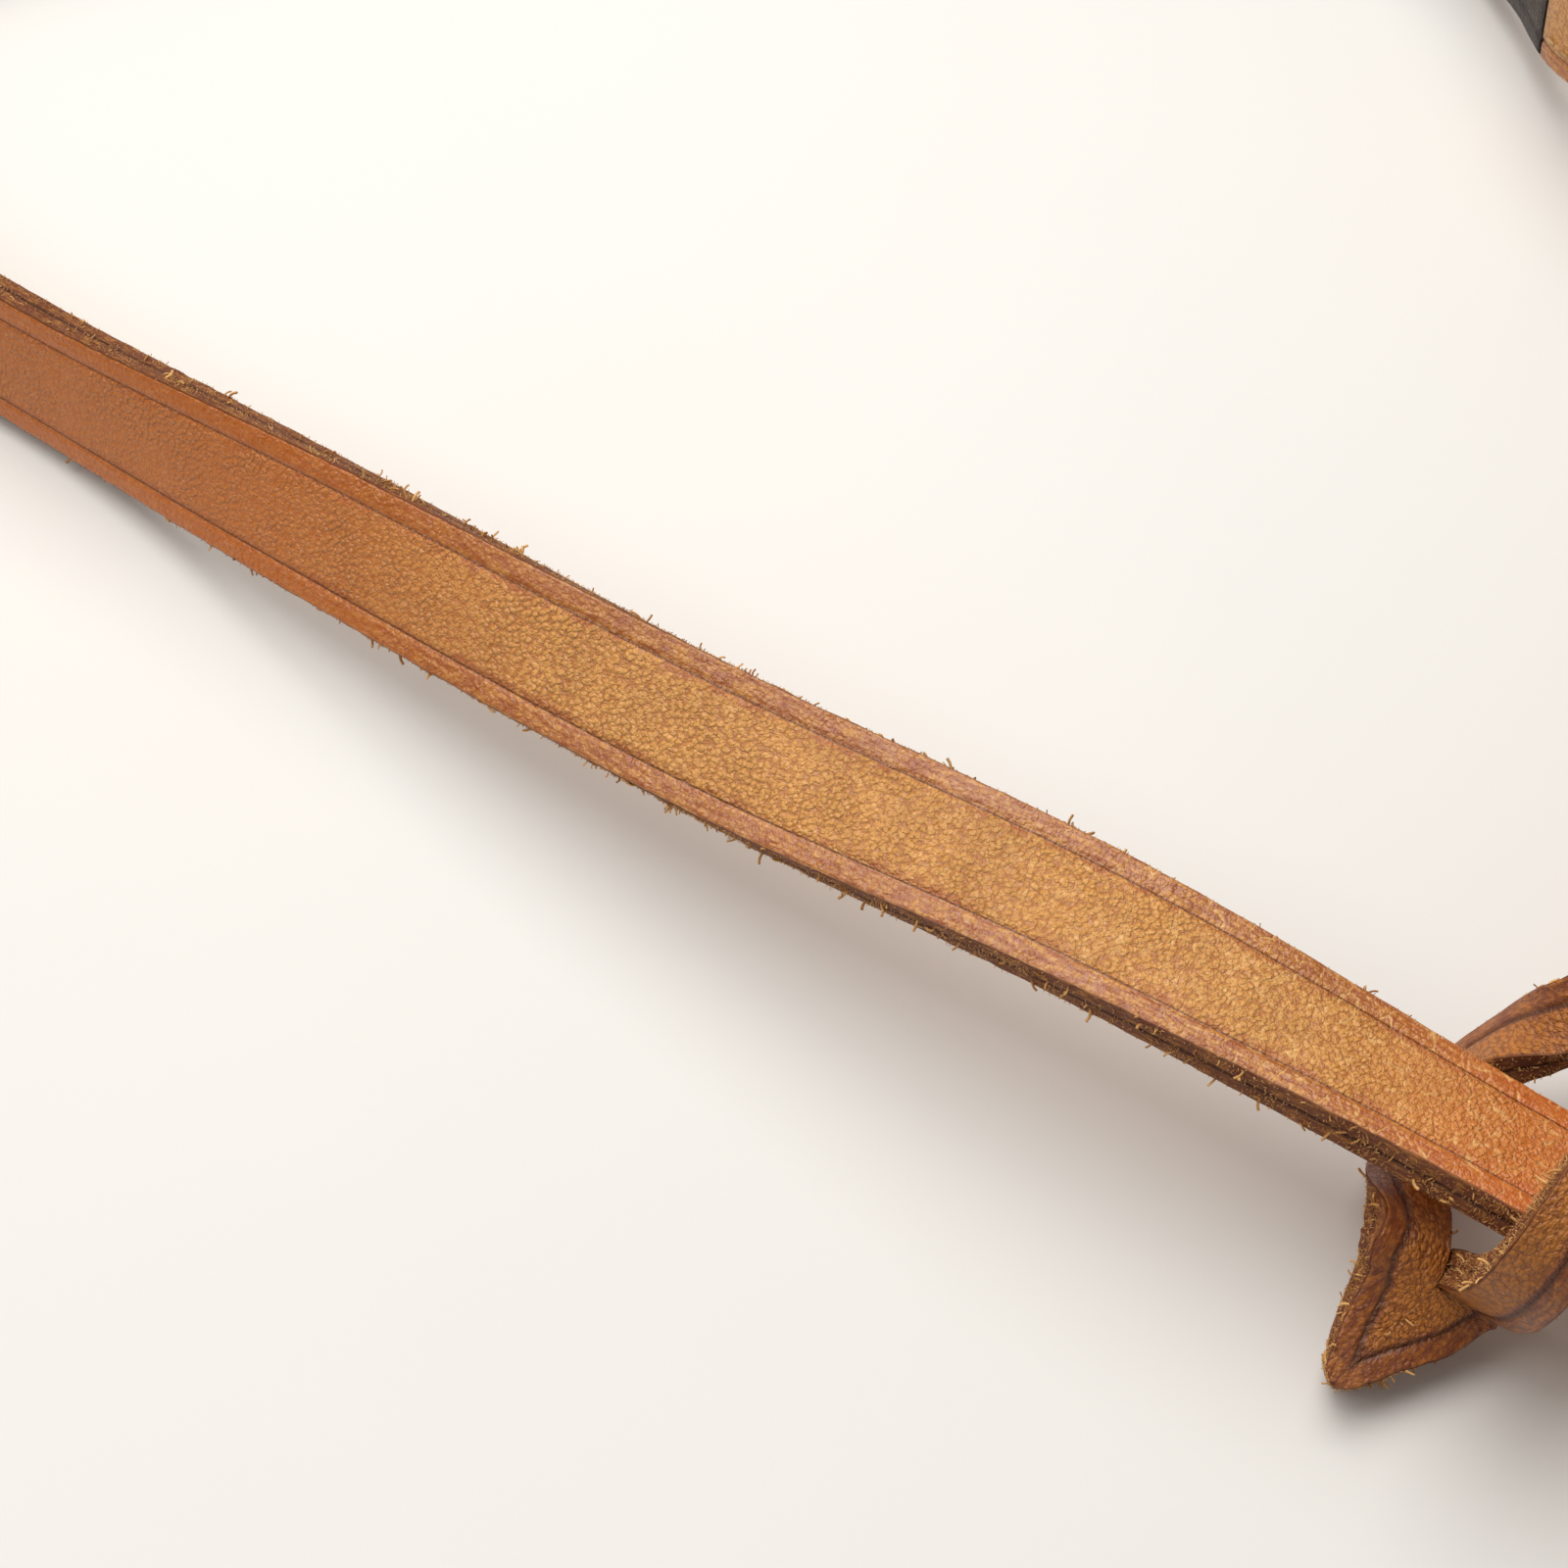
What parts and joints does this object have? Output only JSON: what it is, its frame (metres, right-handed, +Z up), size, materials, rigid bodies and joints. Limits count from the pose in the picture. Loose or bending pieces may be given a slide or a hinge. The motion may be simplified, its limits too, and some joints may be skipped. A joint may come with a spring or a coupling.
{
  "type": "leather headcollar",
  "caption": "Fine tan leather horse headcollar laid open on a table: throat lash through a slit jaw strap, padded nose strap, brass rings, buckle and snap hook.",
  "frame": {"origin": "centre of the laid-out headcollar's bounding box, on the table", "axes": "+X towards the horse's near side across the headcollar, +Y towards the nose, +Z up from the table, jaw side up"},
  "size_m": [0.418, 0.3016, 0.0376],
  "materials": {
    "tan_leather": "matte honey-tan vegetable-tanned leather with creased borders",
    "dark_lining": "soft dark brown lining leather",
    "brass": "polished solid brass"
  },
  "bodies": {
    "harness": {"throat_lash_face": "tan_leather", "throat_lash_back": "tan_leather", "cheekpiece_left_face": "tan_leather", "cheekpiece_right_face": "tan_leather", "headpiece_face": "tan_leather", "nose_strap_face": "tan_leather", "nose_strap_back": "tan_leather", "chin_strap_left_face": "tan_leather", "chin_strap_left_back": "tan_leather", "chin_strap_right_face": "tan_leather", "chin_strap_right_back": "tan_leather", "buckle_strap_face": "tan_leather", "buckle_strap_back": "tan_leather", "fixed_keeper": "tan_leather", "nose_lining": "dark_lining", "poll_lining": "dark_lining", "cheekpiece_left_back": "dark_lining", "cheekpiece_right_back": "dark_lining", "headpiece_back": "dark_lining", "nose_ring_left": "brass", "nose_ring_right": "brass", "cheek_ring_left": "brass", "cheek_ring_right": "brass", "buckle_frame": "brass", "snap_eye": "brass"},
    "jaw_strap": {"jaw_strap_face": "tan_leather", "jaw_strap_back": "tan_leather"},
    "chin_ring": {"chin_ring": "brass"},
    "tongue": {"buckle_tongue": "brass"},
    "roller": {"buckle_roller": "brass"},
    "runner": {"runner": "tan_leather"},
    "snap_body": {"snap_body": "brass"},
    "snap_bolt": {"snap_bolt": "brass"}
  },
  "joints": [
    {"name": "chin_ring_spin", "type": "hinge", "parent": "harness", "child": "chin_ring", "pos_m": [0.01685, 0.10938, 0.033], "axis": [0, 0, 1], "continuous": true},
    {"name": "jaw_strap_swing", "type": "hinge", "parent": "harness", "child": "jaw_strap", "pos_m": [0.01685, 0.10938, 0.033], "axis": [0, 0, 1], "range_deg": [-3, 3]},
    {"name": "tongue_lift", "type": "hinge", "parent": "harness", "child": "tongue", "pos_m": [0.19072, -0.04249, 0.0112], "axis": [0, 0, 1], "range_deg": [0, 6]},
    {"name": "roller_spin", "type": "hinge", "parent": "harness", "child": "roller", "pos_m": [0.19415, -0.05865, 0.0112], "axis": [0, 0, 1], "continuous": true},
    {"name": "runner_slide", "type": "slide", "parent": "harness", "child": "runner", "axis": [-0.2201, -0.9755, 0], "range_m": [-0.004, 0.0035]},
    {"name": "snap_swivel", "type": "hinge", "parent": "harness", "child": "snap_body", "pos_m": [0.17785, 0.01238, 0.022], "axis": [1, 0, 0], "range_deg": [-30, 30]},
    {"name": "snap_bolt_slide", "type": "slide", "parent": "snap_body", "child": "snap_bolt", "axis": [-1, 0, 0], "range_m": [0, 0.0054], "stiffness_N_per_m": 250, "springref_m": -0.004}
  ]
}
